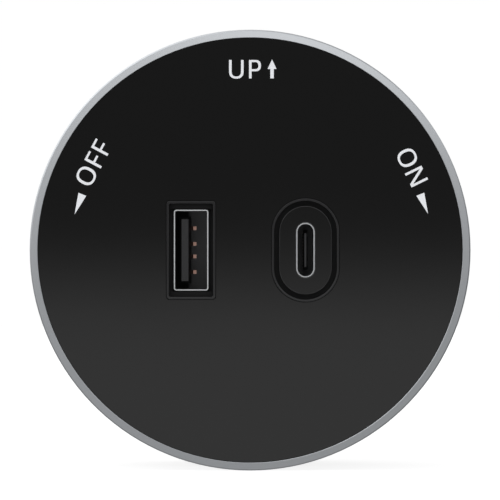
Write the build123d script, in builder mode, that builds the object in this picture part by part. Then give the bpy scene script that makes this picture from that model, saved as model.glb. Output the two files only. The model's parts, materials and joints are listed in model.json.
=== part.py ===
from build123d import *

import os
from math import cos, radians, sin

# Round USB charging module for a power track, locked and switched on by a quarter turn.
# +Z is up, +X is to the right and the face looks along -Y. The turning axis is Y. The origin lies on it, in
# the plane where the stationary shoe rests on the track. A height is a distance in front of that plane, so
# height h is at y = -h, and whatever reaches into the track has a negative height. All sizes are millimetres.

# Track that the module plugs into
slot_width = 13.0  # opening between the two lips
channel_radius = 16.5  # half the width behind the lips, where the head turns
lip_depth = 3.0  # thickness of the lips
lip_play = 0.5  # between the back of the lips and the locking wings
slot_play = 0.6  # between the head and the slot, both sides together
lug_play = 0.4  # between the shoe's lugs and the slot, both sides together

# Clearances between pieces
fit_gap = 0.1  # radial gap between pieces that are assembled and stay put
running_gap = 0.05  # radial gap between pieces that turn or slide in one another
inlay_gap = 0.03  # gap round the face panel, and round the bezels let into it
touch_gap = 0.02  # gap where a moving piece rides on a surface
turning_gap = 0.3  # axial gap between the shoe and what turns in front of it and behind it

# Stationary shoe
shoe_radius = 24.0
shoe_thickness = 4.0
shoe_chamfer = 0.6
lug_length = 5.0
lug_inset = 5.0  # middle of a lug, from the shoe's edge
lug_corner = 0.8
drum_seat = 1.5  # depth of the recess that the head's drum turns in
washer_radius = 10.5
washer_seat = 0.5  # depth of the washer's recess

# Body around the electronics
body_radius = 35.0  # outside of the trim ring
face_height = 36.0  # front of the face panel
ring_wall = 1.25
ring_proud = 0.4  # how far the ring stands in front of the panel
ring_length = 12.4
ring_fall = 0.2  # how far the ring's front slopes back towards its outside
ring_outer_chamfer = 0.2
ring_inner_chamfer = 0.05
ring_groove_depth = 0.25  # shadow line turned into the ring near its back
ring_groove_width = 0.6
ring_groove_inset = 2.0
panel_thickness = 2.0
panel_edge = 0.04
front_wall = 1.8
side_wall = 1.8
grip_inset = 0.3  # how far the grip lies inside the ring's outside
grip_edge = 0.5
flute_count = 72
flute_radius = 1.1
flute_depth = 0.55
flute_end = 1.6  # plain band at each end of the flutes

# Rear cover
cover_thickness = 2.5
cover_rim = 0.8  # straight part of the cover's outer edge
cover_slope = 2.6  # how far the cover draws in towards the track
cover_rounding = 0.8
pad_height = 1.2  # raised pads round the cover's screws
locating_lip_height = 1.6
locating_lip_wall = 1.4
vent_length = 5.0
vent_width = 1.5
vent_inset = 4.7  # middle of the vents, from the edge of the cover's flat
vents_per_side = 5
vent_pitch = 9.0  # degrees

# Main screws
boss_radius = 2.8
boss_overlap = 0.1  # how far the bosses run into the side wall
screw_radius = 1.25
screw_length = 14.0
screw_head_radius = 2.3
screw_head_height = 1.7
counterbore_depth = 1.9
boss_bore_depth = 15.0

# Small screws, for the boards and the head cap
small_screw_radius = 0.9
small_screw_length = 5.0
small_head_radius = 1.75
small_head_height = 1.2
recess_share = 0.5  # depth of a cross recess, as a share of the screw's head
standoff_radius = 2.4

# Locking head
neck_radius = 5.0
neck_wall = 1.8
neck_flat_cut = 0.8  # depth of each of the two flats that carry the turning force
nut_wall = 2.5
nut_thickness = 2.6
neck_proud = 0.2  # how far the neck stands out of its nut
wing_play = 1.0  # from the wings to the sides of the channel
wing_thickness = 4.0
wing_chamfer = 0.7
stem_length = 21.0
stem_corner = 2.2
hollow_corner = 0.5
end_wall = 1.8
long_wall = 1.6
head_roof = 1.8  # wall between the wings' front and the hollow
cap_thickness = 1.6
cap_edge = 0.5
cap_boss_radius = 1.7
cap_boss_inset = 3.3  # middle of a boss, from the end of the hollow

# Contact blades, at three depths so that each meets only its own conductor
blade_thickness = 1.2
blade_cover = 2.2  # from a blade's edge to the side of the stem
blade_corner = 2.0
blade_play = 1.9  # from the live and neutral blades to the sides of the channel
earth_play = 1.2
root_length = 1.1  # wider root, inside the stem, that keeps a blade from being pulled out
root_step = 0.4
live_depth = 10.3  # front surface of each blade, behind the track's face
neutral_depth = 13.1
earth_depth = 15.9

# Stops and detents of the quarter turn
quarter_turn = 90.0
stop_radius = 14.0
stop_pin_radius = 1.5
stop_pin_length = 1.9
stop_play = 0.2
groove_depth = 2.2
detent_offset = 4.0  # from the circle of the stops to the circle of the detents
detent_angle = 45.0
ball_radius = 1.5
detent_travel = 0.5
dimple_gap = 0.08
pocket_wall = 1.6
pocket_roof = 0.8
spring_wire = 0.15  # radius
spring_coil = 0.95  # radius
spring_pitch = 0.55

# USB-A receptacle
usb_a_x = -9.39
usb_a_opening = (5.12, 12.5)
usb_a_shell_wall = 0.18
usb_a_corner = 0.4
usb_a_length = 13.8
usb_a_recess = 1.2  # mouth of the shell behind the face
tongue_a = (1.84, 10.6)
tongue_a_offset = 0.98  # middle of the tongue, left of the middle of the shell
tongue_a_recess = 0.7
tongue_a_nose = (0.38, 1.4)  # taper at the tongue's front: how far in, and how long
insulator_a_depth = 4.5
contact_a_width = 0.58
contact_a_thickness = 0.2
contact_a_cover = 0.3  # of the tongue in front of the contacts' tips
contact_a_tuck = (0.32, 1.0)  # from the contact's tip to its crest: how far out, and how far back
contact_a_rise = 0.87
contact_a_length = 6.0
contact_a_z = (-3.5, -1.0, 1.0, 3.5)

# USB-C receptacle
usb_c_x = 8.8
usb_c_opening = (2.56, 8.34)
usb_c_shell_wall = 0.18
usb_c_recess = 0.7
tongue_c = (0.7, 6.3)
tongue_c_recess = 1.2
tongue_c_nose = (0.2, 0.6)  # taper at the tongue's front: how far in, and how long
tongue_c_corner = (0.48, 0.9)  # the same at its two ends
insulator_c_depth = 7.4
contact_c_count = 12
contact_c_pitch = 0.5
contact_c_width = 0.26
contact_c_thickness = 0.06
contact_c_length = 3.4

# Bezels let into the face
bezel_foot_depth = 2.8  # how far the bezels reach behind the panel
flange_width = 1.0
flange_thickness = 0.8
rim_rounding = 0.14
bezel_a = (7.82, 15.65)
bezel_a_corner = 0.5
bezel_a_rim = 0.4
well_corner = 0.3
socket_a_gap = 0.15  # round the USB-A shell
ledge_depth = 0.9
well_depth = 1.7
bezel_c = (10.75, 16.5)
bezel_c_rim = 0.38
moat_width = 0.85
moat_depth = 1.1
island_recess = 0.3
island_rounding = 0.1

# Port board
board_thickness = 1.6
port_board_margin = 9.3  # from the side wall to each end of the board
port_board_width = 26.0
port_board_room = 1.7  # from the board's sides to the tall pieces of the power board
port_board_corner = 2.0
port_screw_inset = (3.0, 2.7)  # from the board's ends and sides
output_cap_radius = 3.1
output_cap_height = 7.5
output_cap_z = 8.6
controller_side = 5.0
controller_height = 0.9
inductor_side = 5.8
inductor_height = 3.0
inductor_corner = 1.2
inductor_inset = 5.1  # middle of the inductor, from the board's end

# Link between the boards
link_pin_radius = 0.35
link_pin_pitch = 2.54
link_pin_inset = 4.5
link_pin_stub = 0.4  # how far the pins stand out of each board
link_pin_count = 3
link_strip_width = 2.5

# Power board
board_edge_gap = 1.3  # from the side wall
board_lift = 0.4  # above the cover's locating lip
boss_room = 0.4
power_screw_inset = 4.2  # from the side wall
power_screw_angle = 58.3
wire_hole_radius = 4.5
core = (20.0, 7.0, 16.0)  # x, z, height
core_leg = 5.0
core_window = (4.6, 11.0)
winding = (13.6, 12.6, 10.6)
winding_corner = 2.0
bulk_radius = 5.0
bulk_height = 16.0
bulk_x = (-5.6, 5.2)
box_cap = (5.0, 13.0, 11.0)  # x, z, height
box_cap_inset = 5.8  # from the side wall
choke_major = 4.2
choke_minor = 1.9
choke_inset = 5.8
fuse_radius = 1.8
fuse_length = 10.0
fuse_x = 16.0
rectifier = (4.8, 6.4, 2.5)
rectifier_place = (-11.5, -7.5)
switching_chip_size = (6.2, 5.0, 1.6)
switching_chip_place = (-10.5, 7.5)
can_edge = 0.4

# Wires from the blades to the power board
wire_radius = 0.65
wire_inset = (0.8, 1.2)  # middle of a wire on its blade, from the end and the side of the hollow
wire_neck_gap = 0.5  # between the wires and the inside of the neck
wire_rise = 3.6  # height of the wires' highest run above the power board
neck_bend = 2.4
end_bend = 1.6

# Heights that follow from the sizes above
cover_back = shoe_thickness + turning_gap
cover_inside = cover_back + cover_thickness
parting = cover_inside + pad_height
lip_top = parting + locating_lip_height
power_back = lip_top + board_lift
power_front = power_back + board_thickness
wall_front = face_height - panel_thickness
wall_back = wall_front - front_wall
bezel_foot = wall_front - bezel_foot_depth
usb_a_mouth = face_height - usb_a_recess
usb_c_mouth = face_height - usb_c_recess
port_front = usb_a_mouth - usb_a_length
port_back = port_front - board_thickness
ring_front = face_height + ring_proud
ring_back = ring_front - ring_length
drum_front = drum_seat - turning_gap
wing_front = -(lip_depth + lip_play)
wing_back = wing_front - wing_thickness
hollow_front = wing_front - head_roof
stem_back = -(earth_depth + blade_thickness + running_gap)
cap_back = stem_back - cap_thickness
nut_front = cover_inside + nut_thickness
ball_height = shoe_thickness + touch_gap + ball_radius
pocket_top = power_back - pocket_roof

# Widths that follow from the sizes above
ring_bore = body_radius - ring_wall
seat_radius = ring_bore - fit_gap
grip_radius = body_radius - grip_inset
flat_radius = grip_radius - cover_slope
inner_radius = seat_radius - side_wall
lip_radius = inner_radius - fit_gap
boss_circle = inner_radius - boss_radius + boss_overlap
lug_centre = shoe_radius - lug_inset
head_width = slot_width - slot_play
wing_radius = channel_radius - wing_play
blade_tip = channel_radius - blade_play
earth_tip = channel_radius - earth_play
lug_width = slot_width - lug_play
neck_bore = neck_radius - neck_wall
neck_flats = 2 * (neck_radius - neck_flat_cut)
hollow_length = stem_length - 2 * end_wall
hollow_width = head_width - 2 * long_wall
blade_width = head_width - 2 * blade_cover
detent_radius = stop_radius + detent_offset
usb_a_shell_size = tuple(size + 2 * usb_a_shell_wall for size in usb_a_opening)
usb_c_shell_size = tuple(size + 2 * usb_c_shell_wall for size in usb_c_opening)
port_board_length = 2 * (inner_radius - port_board_margin)

os.makedirs("parts", exist_ok=True)


# Plane at a height, looking at the user: its x is +X and its y is +Z, and extruding raises the height
def facing(height):
    return Plane.XZ.offset(height)


# Points of a profile that is turned about Y, from (radius, height) corners
def lathe(*corners):
    return [(radius, -height) for radius, height in corners]


def on_circle(radius, angles):
    return [(radius * cos(radians(angle)), radius * sin(radians(angle))) for angle in angles]


def four_corners(x, z):
    return [(x, z), (-x, z), (-x, -z), (x, -z)]


def edges_at(part, height):
    return part.edges().filter_by_position(Axis.Y, -height - 0.01, -height + 0.01)


def rounds_of(part, radius):
    return part.edges().filter_by(GeomType.CIRCLE).filter_by(lambda edge: abs(edge.radius - radius) < 0.01)


def save(part, name):
    part.label = name
    export_step(part, f"parts/{name}.step")


boss_places = on_circle(boss_circle, [45, 135, 225, 315])
stop_angles = [90, 270]
detent_angles = [detent_angle, detent_angle + 180]
cap_boss_x = hollow_length / 2 - cap_boss_inset
cap_boss_places = [(cap_boss_x, 0), (-cap_boss_x, 0)]
port_screw_places = four_corners(
    port_board_length / 2 - port_screw_inset[0], port_board_width / 2 - port_screw_inset[1]
)
power_screw_places = four_corners(*on_circle(inner_radius - power_screw_inset, [power_screw_angle])[0])

# Track shoe: rests on the track, and its lugs stand in the slot and keep it from turning
with BuildPart() as track_shoe:
    with BuildSketch(facing(0)):
        Circle(shoe_radius)
    extrude(amount=shoe_thickness)
    chamfer(rounds_of(track_shoe, shoe_radius), length=shoe_chamfer)
    with BuildSketch(facing(-lip_depth)):
        with Locations((lug_centre, 0), (-lug_centre, 0)):
            RectangleRounded(lug_length, lug_width, lug_corner)
    extrude(amount=lip_depth)
    chamfer(edges_at(track_shoe, -lip_depth), length=lug_corner / 2)
    with BuildSketch(facing(0)):
        Circle(neck_radius + running_gap)
    extrude(amount=shoe_thickness, mode=Mode.SUBTRACT)
    with BuildSketch(facing(0)):
        Circle(head_width / 2 + running_gap)
    extrude(amount=drum_seat, mode=Mode.SUBTRACT)
    with BuildSketch(facing(shoe_thickness - washer_seat)):
        Circle(washer_radius + fit_gap)
    extrude(amount=washer_seat, mode=Mode.SUBTRACT)
    with BuildSketch(facing(shoe_thickness - groove_depth)):
        for angle in stop_angles:
            path = Edge.make_circle(stop_radius, start_angle=angle - quarter_turn, end_angle=angle)
            SlotArc(path, height=2 * (stop_pin_radius + stop_play))
    extrude(amount=groove_depth, mode=Mode.SUBTRACT)
    with Locations(facing(ball_height - detent_travel)):
        with PolarLocations(detent_radius, 4, start_angle=detent_angle):
            Sphere(ball_radius + dimple_gap, mode=Mode.SUBTRACT)
save(track_shoe.part, "track_shoe")

# Slippery washer that the rear cover turns on
with BuildPart() as thrust_washer:
    with BuildSketch(facing(shoe_thickness - washer_seat)):
        Circle(washer_radius)
        Circle(neck_radius + fit_gap, mode=Mode.SUBTRACT)
    extrude(amount=washer_seat + turning_gap - touch_gap)
save(thrust_washer.part, "thrust_washer")

# Rear cover: closes the body, carries the locking head, the stop pins and the detents
with BuildPart() as rear_cover:
    with BuildSketch(Plane.XY):
        with BuildLine():
            Polyline(
                *lathe(
                    (0, cover_back),
                    (flat_radius, cover_back),
                    (grip_radius, parting - cover_rim),
                    (grip_radius, parting),
                    (lip_radius, parting),
                    (lip_radius, lip_top),
                    (lip_radius - locating_lip_wall, lip_top),
                    (lip_radius - locating_lip_wall, cover_inside),
                    (0, cover_inside),
                ),
                close=True,
            )
        make_face()
    revolve(axis=Axis.Y)
    fillet(rounds_of(rear_cover, flat_radius), radius=cover_rounding)
    with BuildSketch(facing(cover_inside)):
        with Locations(*boss_places):
            Circle(boss_radius + fit_gap)
    extrude(amount=lip_top - cover_inside, mode=Mode.SUBTRACT)
    with BuildSketch(facing(cover_inside)):
        with Locations(*boss_places):
            Circle(boss_radius)
    extrude(amount=pad_height)
    with BuildSketch(facing(cover_inside)):
        with Locations(*power_screw_places):
            Circle(standoff_radius)
        with Locations(*on_circle(detent_radius, detent_angles)):
            Circle(ball_radius + pocket_wall)
    extrude(amount=power_back - cover_inside)
    with BuildSketch(facing(cover_back - stop_pin_length)):
        with Locations(*on_circle(stop_radius, stop_angles)):
            Circle(stop_pin_radius)
    extrude(amount=stop_pin_length)
    with BuildSketch(facing(cover_back)):
        with Locations(*boss_places):
            Circle(screw_radius + fit_gap)
    extrude(amount=parting - cover_back, mode=Mode.SUBTRACT)
    with BuildSketch(facing(cover_back)):
        with Locations(*boss_places):
            Circle(screw_head_radius + fit_gap)
    extrude(amount=counterbore_depth, mode=Mode.SUBTRACT)
    with BuildSketch(facing(power_front - small_screw_length)):
        with Locations(*power_screw_places):
            Circle(small_screw_radius + running_gap)
    extrude(amount=small_screw_length, mode=Mode.SUBTRACT)
    with BuildSketch(facing(cover_back)):
        with Locations(*on_circle(detent_radius, detent_angles)):
            Circle(ball_radius + running_gap)
    extrude(amount=pocket_top - cover_back, mode=Mode.SUBTRACT)
    with BuildSketch(facing(cover_back)):
        Circle(neck_radius + running_gap)
        Rectangle(4 * neck_radius, neck_flats + 2 * running_gap, mode=Mode.INTERSECT)
    extrude(amount=cover_thickness, mode=Mode.SUBTRACT)
    with BuildSketch(facing(cover_back)):
        for side_angle in (0, 90, 180, 270):
            first = side_angle - vent_pitch * (vents_per_side - 1) / 2
            span = vent_pitch * vents_per_side
            with PolarLocations(flat_radius - vent_inset, vents_per_side, first, span):
                SlotOverall(vent_length, vent_width)
    extrude(amount=cover_thickness, mode=Mode.SUBTRACT)
save(rear_cover.part, "rear_cover")

# Housing: cup that holds the ports and the port board, with the fluted grip
with BuildPart() as front_housing:
    with BuildSketch(Plane.XY):
        with BuildLine():
            Polyline(
                *lathe(
                    (0, wall_front),
                    (seat_radius, wall_front),
                    (seat_radius, ring_back),
                    (grip_radius - grip_edge, ring_back),
                    (grip_radius, ring_back - grip_edge),
                    (grip_radius, parting),
                    (inner_radius, parting),
                    (inner_radius, wall_back),
                    (0, wall_back),
                ),
                close=True,
            )
        make_face()
    revolve(axis=Axis.Y)
    with BuildSketch(facing(parting + flute_end)):
        with PolarLocations(grip_radius + flute_radius - flute_depth, flute_count):
            Circle(flute_radius)
    extrude(amount=ring_back - grip_edge - parting - 2 * flute_end, mode=Mode.SUBTRACT)
    with BuildSketch(facing(parting)):
        with Locations(*boss_places):
            Circle(boss_radius)
    extrude(amount=wall_back - parting)
    with BuildSketch(facing(port_front)):
        with Locations(*port_screw_places):
            Circle(standoff_radius)
    extrude(amount=wall_back - port_front)
    with BuildSketch(facing(parting)):
        with Locations(*boss_places):
            Circle(screw_radius + running_gap)
    extrude(amount=boss_bore_depth, mode=Mode.SUBTRACT)
    with BuildSketch(facing(port_front)):
        with Locations(*port_screw_places):
            Circle(small_screw_radius + running_gap)
    extrude(amount=small_screw_length, mode=Mode.SUBTRACT)
    with BuildSketch(facing(wall_back)):
        with Locations((usb_a_x, 0)):
            RectangleRounded(bezel_a[0] + 2 * fit_gap, bezel_a[1] + 2 * fit_gap, bezel_a_corner)
        with Locations((usb_c_x, 0)):
            SlotOverall(bezel_c[1] + 2 * fit_gap, bezel_c[0] + 2 * fit_gap, rotation=90)
    extrude(amount=front_wall, mode=Mode.SUBTRACT)
    with BuildSketch(facing(wall_front - flange_thickness)):
        flange_room = 2 * (flange_width + fit_gap)
        with Locations((usb_a_x, 0)):
            RectangleRounded(bezel_a[0] + flange_room, bezel_a[1] + flange_room, bezel_a_corner)
        with Locations((usb_c_x, 0)):
            SlotOverall(bezel_c[1] + flange_room, bezel_c[0] + flange_room, rotation=90)
    extrude(amount=flange_thickness, mode=Mode.SUBTRACT)
save(front_housing.part, "front_housing")

# Trim ring: sleeve round the face, pushed on to the housing's shoulder
groove_back = ring_back + ring_groove_inset
groove_floor = body_radius - ring_groove_depth

with BuildPart() as trim_ring:
    with BuildSketch(Plane.XY):
        with BuildLine():
            Polyline(
                *lathe(
                    (ring_bore, ring_back),
                    (body_radius, ring_back),
                    (body_radius, groove_back),
                    (groove_floor, groove_back),
                    (groove_floor, groove_back + ring_groove_width),
                    (body_radius, groove_back + ring_groove_width),
                    (body_radius, ring_front - ring_fall - ring_outer_chamfer),
                    (body_radius - ring_outer_chamfer, ring_front - ring_fall),
                    (ring_bore + ring_inner_chamfer, ring_front),
                    (ring_bore, ring_front - ring_inner_chamfer),
                ),
                close=True,
            )
        make_face()
    revolve(axis=Axis.Y)
save(trim_ring.part, "trim_ring")

# Face panel: glossy disc with an opening for each bezel
with BuildPart() as face_panel:
    with BuildSketch(facing(wall_front)):
        Circle(ring_bore - inlay_gap)
        play = 2 * inlay_gap
        with Locations((usb_a_x, 0)):
            RectangleRounded(bezel_a[0] + play, bezel_a[1] + play, bezel_a_corner, mode=Mode.SUBTRACT)
        with Locations((usb_c_x, 0)):
            SlotOverall(bezel_c[1] + play, bezel_c[0] + play, rotation=90, mode=Mode.SUBTRACT)
    extrude(amount=panel_thickness)
    chamfer(edges_at(face_panel, face_height), length=panel_edge)
save(face_panel.part, "face_panel")

# USB-A bezel: rectangular well with a raised ledge above and below the socket
well_a = (bezel_a[0] - 2 * bezel_a_rim, bezel_a[1] - 2 * bezel_a_rim)
socket_a = (usb_a_shell_size[0] + 2 * socket_a_gap, usb_a_shell_size[1] + 2 * socket_a_gap)

with BuildPart() as usb_a_bezel:
    with BuildSketch(facing(bezel_foot)):
        with Locations((usb_a_x, 0)):
            RectangleRounded(*bezel_a, bezel_a_corner)
    extrude(amount=face_height - bezel_foot)
    with BuildSketch(facing(wall_front - flange_thickness)):
        with Locations((usb_a_x, 0)):
            RectangleRounded(bezel_a[0] + 2 * flange_width, bezel_a[1] + 2 * flange_width, bezel_a_corner)
    extrude(amount=flange_thickness)
    with BuildSketch(facing(face_height - ledge_depth)):
        with Locations((usb_a_x, 0)):
            RectangleRounded(*well_a, well_corner)
    extrude(amount=ledge_depth, mode=Mode.SUBTRACT)
    with BuildSketch(facing(face_height - well_depth)):
        with Locations((usb_a_x, 0)):
            Rectangle(well_a[0], socket_a[1])
    extrude(amount=well_depth - ledge_depth, mode=Mode.SUBTRACT)
    with BuildSketch(facing(bezel_foot)):
        with Locations((usb_a_x, 0)):
            RectangleRounded(*socket_a, usb_a_corner)
    extrude(amount=face_height - well_depth - bezel_foot, mode=Mode.SUBTRACT)
    fillet(edges_at(usb_a_bezel, face_height), radius=rim_rounding)
save(usb_a_bezel.part, "usb_a_bezel")

# USB-C bezel: rounded island inside a moat
moat_edge = (bezel_c[0] - 2 * bezel_c_rim, bezel_c[1] - 2 * bezel_c_rim)
island = (moat_edge[0] - 2 * moat_width, moat_edge[1] - 2 * moat_width)
socket_c = (usb_c_shell_size[0] + 2 * running_gap, usb_c_shell_size[1] + 2 * running_gap)

with BuildPart() as usb_c_bezel:
    with BuildSketch(facing(bezel_foot)):
        with Locations((usb_c_x, 0)):
            SlotOverall(bezel_c[1], bezel_c[0], rotation=90)
    extrude(amount=face_height - bezel_foot)
    with BuildSketch(facing(wall_front - flange_thickness)):
        with Locations((usb_c_x, 0)):
            SlotOverall(bezel_c[1] + 2 * flange_width, bezel_c[0] + 2 * flange_width, rotation=90)
    extrude(amount=flange_thickness)
    with BuildSketch(facing(face_height - moat_depth)):
        with Locations((usb_c_x, 0)):
            SlotOverall(moat_edge[1], moat_edge[0], rotation=90)
    extrude(amount=moat_depth, mode=Mode.SUBTRACT)
    with BuildSketch(facing(face_height - moat_depth)):
        with Locations((usb_c_x, 0)):
            SlotOverall(island[1], island[0], rotation=90)
    extrude(amount=moat_depth - island_recess)
    with BuildSketch(facing(bezel_foot)):
        with Locations((usb_c_x, 0)):
            SlotOverall(socket_c[1], socket_c[0], rotation=90)
    extrude(amount=face_height - bezel_foot, mode=Mode.SUBTRACT)
    fillet(edges_at(usb_c_bezel, face_height), radius=rim_rounding)
    fillet(edges_at(usb_c_bezel, face_height - island_recess), radius=island_rounding)
save(usb_c_bezel.part, "usb_c_bezel")

# USB-A shell: folded steel tube on the port board
with BuildPart() as usb_a_shell:
    with BuildSketch(facing(port_front)):
        with Locations((usb_a_x, 0)):
            RectangleRounded(*usb_a_shell_size, usb_a_corner)
            RectangleRounded(*usb_a_opening, usb_a_corner - usb_a_shell_wall, mode=Mode.SUBTRACT)
    extrude(amount=usb_a_length)
save(usb_a_shell.part, "usb_a_shell")

# USB-A insulator: block at the bottom of the shell, with the tongue standing on it
tongue_a_x = usb_a_x - tongue_a_offset
tongue_a_front = usb_a_mouth - tongue_a_recess
contact_tip = tongue_a_front - tongue_a_nose[1] - contact_a_cover
contact_crest = contact_tip - contact_a_tuck[1]
contact_foot = port_front + insulator_a_depth
contact_x = tongue_a_x + (tongue_a[0] - contact_a_thickness) / 2 - touch_gap
block_a = (usb_a_opening[0] - 2 * running_gap, usb_a_opening[1] - 2 * running_gap)

with BuildPart() as usb_a_insulator:
    with BuildSketch(facing(port_front)):
        with Locations((usb_a_x, 0)):
            RectangleRounded(*block_a, usb_a_corner - usb_a_shell_wall - running_gap)
    extrude(amount=insulator_a_depth)
    with BuildSketch(facing(port_front)):
        with Locations((tongue_a_x, 0)):
            Rectangle(*tongue_a)
    extrude(amount=tongue_a_front - port_front)
    nose = usb_a_insulator.faces().sort_by(Axis.Y)[0]
    chamfer(nose.edges(), length=tongue_a_nose[0], length2=tongue_a_nose[1], reference=nose)
    with BuildSketch(facing(contact_foot)):
        with Locations(*[(tongue_a_x + tongue_a[0] / 2, z) for z in contact_a_z]):
            Rectangle(2 * (contact_a_thickness + 2 * touch_gap), contact_a_width + 2 * running_gap)
    extrude(amount=contact_tip + touch_gap - contact_foot, mode=Mode.SUBTRACT)
save(usb_a_insulator.part, "usb_a_insulator")

# USB-A contacts: four springs that lie in grooves of the tongue and bend out of its right side
with BuildPart() as usb_a_contact:
    with BuildSketch(Plane.XY):
        with BuildLine():
            Polyline(
                *lathe(
                    (contact_x, contact_tip),
                    (contact_x + contact_a_tuck[0], contact_crest),
                    (contact_x + contact_a_rise, contact_crest),
                    (contact_x, contact_tip - contact_a_length),
                    (contact_x, contact_foot),
                )
            )
        trace(line_width=contact_a_thickness)
    extrude(amount=contact_a_width / 2, both=True)
usb_a_contacts = Compound([usb_a_contact.part.moved(Location((0, 0, z))) for z in contact_a_z])
save(usb_a_contacts, "usb_a_contacts")

# USB-C shell: rounded steel tube on the port board
with BuildPart() as usb_c_shell:
    with BuildSketch(facing(port_front)):
        with Locations((usb_c_x, 0)):
            SlotOverall(usb_c_shell_size[1], usb_c_shell_size[0], rotation=90)
            SlotOverall(usb_c_opening[1], usb_c_opening[0], rotation=90, mode=Mode.SUBTRACT)
    extrude(amount=usb_c_mouth - port_front)
save(usb_c_shell.part, "usb_c_shell")

# USB-C insulator: plug at the bottom of the shell, with the thin middle tongue
tongue_c_front = usb_c_mouth - tongue_c_recess
contact_c_back = tongue_c_front - tongue_c_corner[1] - contact_c_length

with BuildPart() as usb_c_insulator:
    with BuildSketch(facing(port_front)):
        with Locations((usb_c_x, 0)):
            SlotOverall(usb_c_opening[1] - 2 * running_gap, usb_c_opening[0] - 2 * running_gap, rotation=90)
    extrude(amount=insulator_c_depth)
    with BuildSketch(facing(port_front)):
        with Locations((usb_c_x, 0)):
            Rectangle(*tongue_c)
    extrude(amount=tongue_c_front - port_front)
    nose = usb_c_insulator.faces().sort_by(Axis.Y)[0]
    nose_ends = nose.edges().filter_by(Axis.X)
    chamfer(nose_ends, length=tongue_c_corner[0], length2=tongue_c_corner[1], reference=nose)
    nose = usb_c_insulator.faces().sort_by(Axis.Y)[0]
    nose_sides = nose.edges().filter_by(Axis.Z)
    chamfer(nose_sides, length=tongue_c_nose[0], length2=tongue_c_nose[1], reference=nose)
    with BuildSketch(facing(contact_c_back)):
        for side in (-1, 1):
            with Locations((usb_c_x + side * tongue_c[0] / 2, 0)):
                with GridLocations(0, contact_c_pitch, 1, contact_c_count):
                    Rectangle(2 * (contact_c_thickness + touch_gap), contact_c_width + 2 * touch_gap)
    extrude(amount=contact_c_length + touch_gap, mode=Mode.SUBTRACT)
save(usb_c_insulator.part, "usb_c_insulator")

# USB-C contacts: a row of flat pads let into each side of the tongue
with BuildPart() as usb_c_contacts:
    with BuildSketch(facing(contact_c_back)):
        for side in (-1, 1):
            with Locations((usb_c_x + side * (tongue_c[0] - contact_c_thickness) / 2, 0)):
                with GridLocations(0, contact_c_pitch, 1, contact_c_count):
                    Rectangle(contact_c_thickness, contact_c_width)
    extrude(amount=contact_c_length)
save(usb_c_contacts.part, "usb_c_contacts")


# Cross-head screws whose heads lie on a surface: direction is 1 where the shanks run to the front, else -1
def screws(places, surface, direction, shank_radius, shank_length, head_radius, head_height):
    head_top = surface - direction * head_height
    with BuildPart() as screw_set:
        with BuildSketch(facing(surface)):
            with Locations(*places):
                Circle(head_radius)
        extrude(amount=-direction * head_height)
        fillet(edges_at(screw_set, head_top), radius=head_height / 3)
        with BuildSketch(facing(surface)):
            with Locations(*places):
                Circle(shank_radius)
        extrude(amount=direction * shank_length)
        with BuildSketch(facing(head_top)):
            with Locations(*places):
                Rectangle(1.2 * head_radius, head_radius / 4)
                Rectangle(head_radius / 4, 1.2 * head_radius)
        extrude(amount=direction * recess_share * head_height, mode=Mode.SUBTRACT)
    return screw_set.part


small_screw = (small_screw_radius, small_screw_length, small_head_radius, small_head_height)
main_screw = (screw_radius, screw_length, screw_head_radius, screw_head_height)
save(screws(port_screw_places, port_back, 1, *small_screw), "port_board_screws")
save(screws(power_screw_places, power_front, -1, *small_screw), "power_board_screws")
save(screws(cap_boss_places, cap_back, 1, *small_screw), "head_cap_screws")
save(screws(boss_places, cover_back + counterbore_depth, 1, *main_screw), "housing_screws")

# Port board: carries both receptacles behind the face
link_pin_x = -(port_board_length / 2 - link_pin_inset)

with BuildPart() as port_board:
    with BuildSketch(facing(port_back)):
        RectangleRounded(port_board_length, port_board_width, port_board_corner)
        with Locations(*port_screw_places):
            Circle(small_screw_radius + fit_gap, mode=Mode.SUBTRACT)
        with Locations((link_pin_x, 0)):
            with GridLocations(0, link_pin_pitch, 1, link_pin_count):
                Circle(link_pin_radius + running_gap, mode=Mode.SUBTRACT)
    extrude(amount=board_thickness)
save(port_board.part, "port_board")

# Electrolytic capacitors that smooth the output
with BuildPart() as output_capacitors:
    with BuildSketch(facing(port_front)):
        with Locations((0, output_cap_z), (0, -output_cap_z)):
            Circle(output_cap_radius)
    extrude(amount=output_cap_height)
    fillet(edges_at(output_capacitors, port_front + output_cap_height), radius=can_edge)
save(output_capacitors.part, "output_capacitors")

# Chip that agrees the charging voltage, between the receptacles
with BuildPart() as charge_controller:
    with BuildSketch(facing(port_front)):
        Rectangle(controller_side, controller_side)
    extrude(amount=controller_height)
save(charge_controller.part, "charge_controller")

# Inductor beside the USB-C receptacle
with BuildPart() as output_inductor:
    with BuildSketch(facing(port_front)):
        with Locations((port_board_length / 2 - inductor_inset, 0)):
            RectangleRounded(inductor_side, inductor_side, inductor_corner)
    extrude(amount=inductor_height)
save(output_inductor.part, "output_inductor")

# Pins that link the two boards, and the strip that holds them
with BuildPart() as link_pins:
    with BuildSketch(facing(power_back - link_pin_stub)):
        with Locations((link_pin_x, 0)):
            with GridLocations(0, link_pin_pitch, 1, link_pin_count):
                Circle(link_pin_radius)
    extrude(amount=port_front - power_back + 2 * link_pin_stub)
save(link_pins.part, "link_pins")

with BuildPart() as link_strip:
    with BuildSketch(facing(power_front)):
        with Locations((link_pin_x, 0)):
            Rectangle(link_strip_width, link_pin_count * link_pin_pitch)
            with GridLocations(0, link_pin_pitch, 1, link_pin_count):
                Circle(link_pin_radius, mode=Mode.SUBTRACT)
    extrude(amount=link_strip_width)
save(link_strip.part, "link_strip")

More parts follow.
